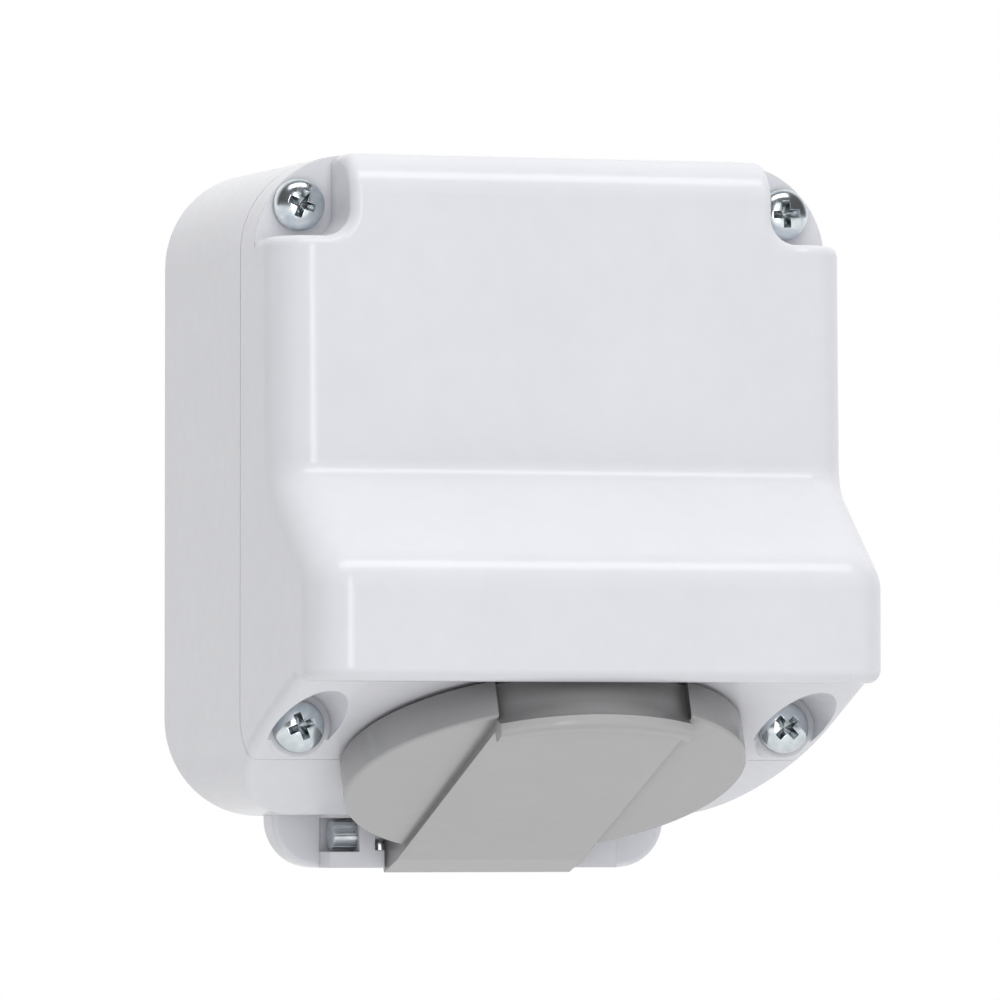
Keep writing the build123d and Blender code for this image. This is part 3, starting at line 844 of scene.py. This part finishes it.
    def cut_head(self) -> bpy.types.Mesh:
        """Cuts the recess from the head and rounds its edges."""
        head = link("screw_head", self.head())
        cutter = link("screw_recess", self.recess())
        cut = head.modifiers.new("recess", "BOOLEAN")
        cut.operation = "DIFFERENCE"
        cut.solver = "EXACT"
        cut.object = cutter
        rounding = head.modifiers.new("edges", "BEVEL")
        rounding.width = self.edge
        rounding.segments = 2
        rounding.limit_method = "ANGLE"
        rounding.angle_limit = math.radians(self.edge_angle)
        graph = bpy.context.evaluated_depsgraph_get()
        mesh = bpy.data.meshes.new_from_object(head.evaluated_get(graph))
        bpy.data.objects.remove(head)
        bpy.data.objects.remove(cutter)
        return mesh

    def shank(self, length: float) -> bpy.types.Mesh:
        """Builds a threaded shank with a pointed end, down from the seat.

        Args:
            length: Length under the head.

        Returns:
            The shank's mesh.
        """
        around = self.shank_segments
        rows = int(length / self.pitch * self.rows_per_turn)
        shape = bmesh.new()
        rings = []
        for row in range(rows + 1):
            depth = length * row / rows
            taper = min(1.0, (length - depth) / self.point) * (1 - self.tip_share) + self.tip_share
            ring = []
            for i in range(around):
                phase = (depth / self.pitch - i / around) % 1.0
                ridge = max(0.0, 1 - abs(phase - 0.5) * 4)
                radius = (self.core_radius + (self.shank_radius - self.core_radius) * ridge) * taper
                angle = 2 * math.pi * i / around
                ring.append(shape.verts.new((radius * math.cos(angle), radius * math.sin(angle), -depth)))
            rings.append(ring)
        for high, low in zip(rings, rings[1:]):
            for i in range(around):
                j = (i + 1) % around
                shape.faces.new((low[i], low[j], high[j], high[i]))
        shape.faces.new(rings[0])
        shape.faces.new(list(reversed(rings[-1])))
        mesh = bpy.data.meshes.new("screw_shank")
        shape.to_mesh(mesh)
        shape.free()
        return mesh

    def build(self) -> None:
        """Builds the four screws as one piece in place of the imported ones."""
        low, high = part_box("cover_screws")
        seat = low.y + self.head_height
        parts = (self.cut_head(), self.shank(high.y - seat))
        facing = Matrix.Rotation(math.pi / 2, 4, "X")
        shape = bmesh.new()
        for (side, row), turn in self.turns().items():
            across = (low.x if side < 0 else high.x) - side * self.head_radius
            up = (low.z if row < 0 else high.z) - row * self.head_radius
            spin = Matrix.Rotation(math.radians(turn), 4, "Z")
            place = Matrix.Translation((across, seat, up)) @ facing @ spin
            for part in parts:
                copy = part.copy()
                copy.transform(place)
                shape.from_mesh(copy)
                bpy.data.meshes.remove(copy)
        mesh = bpy.data.meshes.new("dressed_cover_screws")
        shape.to_mesh(mesh)
        shape.free()
        mesh.shade_smooth()
        mesh.set_sharp_from_angle(angle=math.radians(self.smooth_angle))
        mesh.materials.append(self.shelf.take(Slot.ZINC))
        screws = link("dressed_cover_screws", mesh)
        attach(screws, Body.HOUSING.value)
        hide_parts("cover_screws")
        LOG.info("%s built in place of cover_screws", screws.name)


@dataclass
class Lamp:
    """A soft rectangular lamp.

    Attributes:
        name: Its name.
        place: Where it stands.
        size: Its width and height.
        power: Its power, in watts.
    """

    name: str
    place: tuple[float, float, float]
    size: tuple[float, float]
    power: float

    def build(self, target: Vector) -> None:
        """Adds the lamp.

        Args:
            target: What it points at.
        """
        data = bpy.data.lights.new(self.name, "AREA")
        data.shape = "RECTANGLE"
        data.size, data.size_y = self.size
        data.energy = self.power
        lamp = bpy.data.objects.new(self.name, data)
        lamp.location = self.place
        lamp.rotation_mode = "QUATERNION"
        lamp.rotation_quaternion = (target - lamp.location).to_track_quat("-Z", "Y")
        bpy.context.scene.collection.objects.link(lamp)
        LOG.info("lamp %s", self.name)


@dataclass
class Studio:
    """Floor, world, lamps and camera.

    Attributes:
        floor_drop: Distance of the floor under the object.
        floor_reach: Half the width of the floor.
        fade_start: Distance from the object where the floor starts to turn plain white.
        fade_end: Distance where it is plain white.
        paper: Grey level of the floor near the object.
        front: Strength of the world's light from the camera's side.
        behind: Strength of the world's light from behind the object.
        overhead: Strength of the world's light from above.
        back_edge: How far to the back, from -1 to 1, the light from behind starts and is full.
        top_edge: How far up the light from above starts and is full.
        room: Brightness of the studio that glossy surfaces mirror in front of them.
        backdrop: Brightness of the backdrop that they mirror behind them; 1 is white.
        azimuth: Camera's turn round the object, in degrees, to the right.
        elevation: Camera's height over the horizon, in degrees.
        distance: Camera's distance from its target.
        target: What the camera points at.
        lens: Focal length, in millimetres, on a sensor of that width.
        sensor: Width of the sensor, in millimetres.
        clip: Nearest and farthest distance that the camera sees.
    """

    floor_drop: float = 0.16
    floor_reach: float = 14.0
    fade_start: float = 0.5
    fade_end: float = 1.1
    paper: float = 0.9
    front: float = 0.42
    behind: float = 0.03
    overhead: float = 1.16
    back_edge: tuple[float, float] = (-0.3, 0.5)
    top_edge: tuple[float, float] = (0.4, 0.95)
    room: float = 0.1
    backdrop: float = 1.0
    azimuth: float = -17.26
    elevation: float = -2.016
    distance: float = 1.3212
    target: tuple[float, float, float] = (-0.0037, -0.040, -0.00184)
    lens: float = 312.1
    sensor: float = 36.0
    clip: tuple[float, float] = (0.05, 100.0)

    def lamps(self) -> list[Lamp]:
        """The lamps round the object."""
        return [
            Lamp("top_softbox", place=(0.05, -0.72, 1.1), size=(1.0, 0.45), power=4.6),
            Lamp("front_strip", place=(0.02, -1.7, 0.1), size=(0.26, 1.3), power=5.0),
        ]

    def build_floor(self) -> None:
        """Builds the floor: it keeps the shadow, is plain white far off, and is clear from underneath."""
        shape = bmesh.new()
        height = CAD_LOW.z - self.floor_drop
        corners = []
        for x, y in ((-1, -1), (1, -1), (1, 1), (-1, 1)):
            corners.append(shape.verts.new((x * self.floor_reach, y * self.floor_reach, height)))
        shape.faces.new(corners)
        mesh = bpy.data.meshes.new("floor")
        shape.to_mesh(mesh)
        shape.free()
        material, graph = new_material("studio_floor")
        flat = graph.node(
            "ShaderNodeVectorMath",
            {"operation": "MULTIPLY"},
            {0: graph.places(), 1: (1.0, 1.0, 0.0)},
        )
        away = graph.node("ShaderNodeVectorMath", {"operation": "LENGTH"}, {0: flat}, "Value")
        far = graph.step(away, self.fade_start, self.fade_end)
        grey = (self.paper, self.paper, self.paper, 1.0)
        paper = graph.node("ShaderNodeBsdfDiffuse", None, {"Color": grey})
        white = graph.node("ShaderNodeEmission", None, {"Strength": 1.0})
        upper = self.blend(graph, far * graph.background_rays(), paper, white)
        clear = graph.node("ShaderNodeBsdfTransparent")
        under = graph.node("ShaderNodeNewGeometry", output="Backfacing")
        surface = self.blend(graph, under, upper, clear)
        graph.node("ShaderNodeOutputMaterial", None, {"Surface": surface})
        mesh.materials.append(material)
        floor = link("studio_floor", mesh)
        LOG.info("floor at %.3f m", height)

    @staticmethod
    def sky(graph: Graph, strength: float) -> Wire:
        """Adds a plain white sky.

        Args:
            graph: The world's graph.
            strength: How bright the sky is; 1 is white.

        Returns:
            The sky's shader.
        """
        return graph.node("ShaderNodeBackground", None, {"Color": WHITE, "Strength": strength})

    @staticmethod
    def blend(graph: Graph, share: Wire, first: Wire, second: Wire) -> Wire:
        """Blends two shaders.

        Args:
            graph: The graph that they are in.
            share: Share of the second shader.
            first: Shader at 0.
            second: Shader at 1.

        Returns:
            The blended shader.
        """
        return graph.node("ShaderNodeMixShader", None, {0: share, 1: first, 2: second})

    def build_world(self) -> None:
        """Makes a world that the camera sees as white, with light from the front and from above."""
        world = bpy.data.worlds.new("studio")
        world.use_nodes = True
        bpy.context.scene.world = world
        graph = Graph(world.node_tree)
        way = graph.node("ShaderNodeTexCoord", output="Generated")
        back_share = graph.step(graph.node("ShaderNodeSeparateXYZ", None, {0: way}, "Y"), *self.back_edge)
        top_share = graph.step(graph.node("ShaderNodeSeparateXYZ", None, {0: way}, "Z"), *self.top_edge)
        seen = graph.node("ShaderNodeLightPath", output="Is Camera Ray")
        light = self.sky(graph, self.front)
        light = self.blend(graph, back_share, light, self.sky(graph, self.behind))
        light = self.blend(graph, top_share, light, self.sky(graph, self.overhead))
        mirrored = self.blend(graph, back_share, self.sky(graph, self.room), self.sky(graph, self.backdrop))
        light = self.blend(graph, graph.background_rays(), light, mirrored)
        light = self.blend(graph, seen, light, self.sky(graph, 1.0))
        graph.node("ShaderNodeOutputWorld", None, {"Surface": light})

    def build_camera(self) -> None:
        """Sets the camera at the photograph's viewing angle."""
        data = bpy.data.cameras.new("camera")
        data.lens = self.lens
        data.sensor_width = self.sensor
        data.clip_start, data.clip_end = self.clip
        camera = bpy.data.objects.new("camera", data)
        turn, rise = math.radians(self.azimuth), math.radians(self.elevation)
        back = Vector((math.sin(turn) * math.cos(rise), -math.cos(turn) * math.cos(rise), math.sin(rise)))
        camera.location = Vector(self.target) + back * self.distance
        camera.rotation_mode = "QUATERNION"
        camera.rotation_quaternion = (-back).to_track_quat("-Z", "Y")
        bpy.context.scene.collection.objects.link(camera)
        bpy.context.scene.camera = camera

    def build(self) -> None:
        """Builds the whole studio."""
        self.build_floor()
        self.build_world()
        for lamp in self.lamps():
            lamp.build(Vector(self.target))
        self.build_camera()
        bpy.context.scene.view_settings.view_transform = "Standard"


def main() -> None:
    """Builds the studio and the sub-assemblies in order."""
    logging.basicConfig(level=logging.INFO, format="%(name)s: %(message)s")
    Studio().build()
    shelf = FinishShelf()
    for kind in (Housing, SocketInsert, FlapSet, ClosingSpring, CoverScrews):
        kind(shelf).build()


if __name__ == "__main__":
    main()
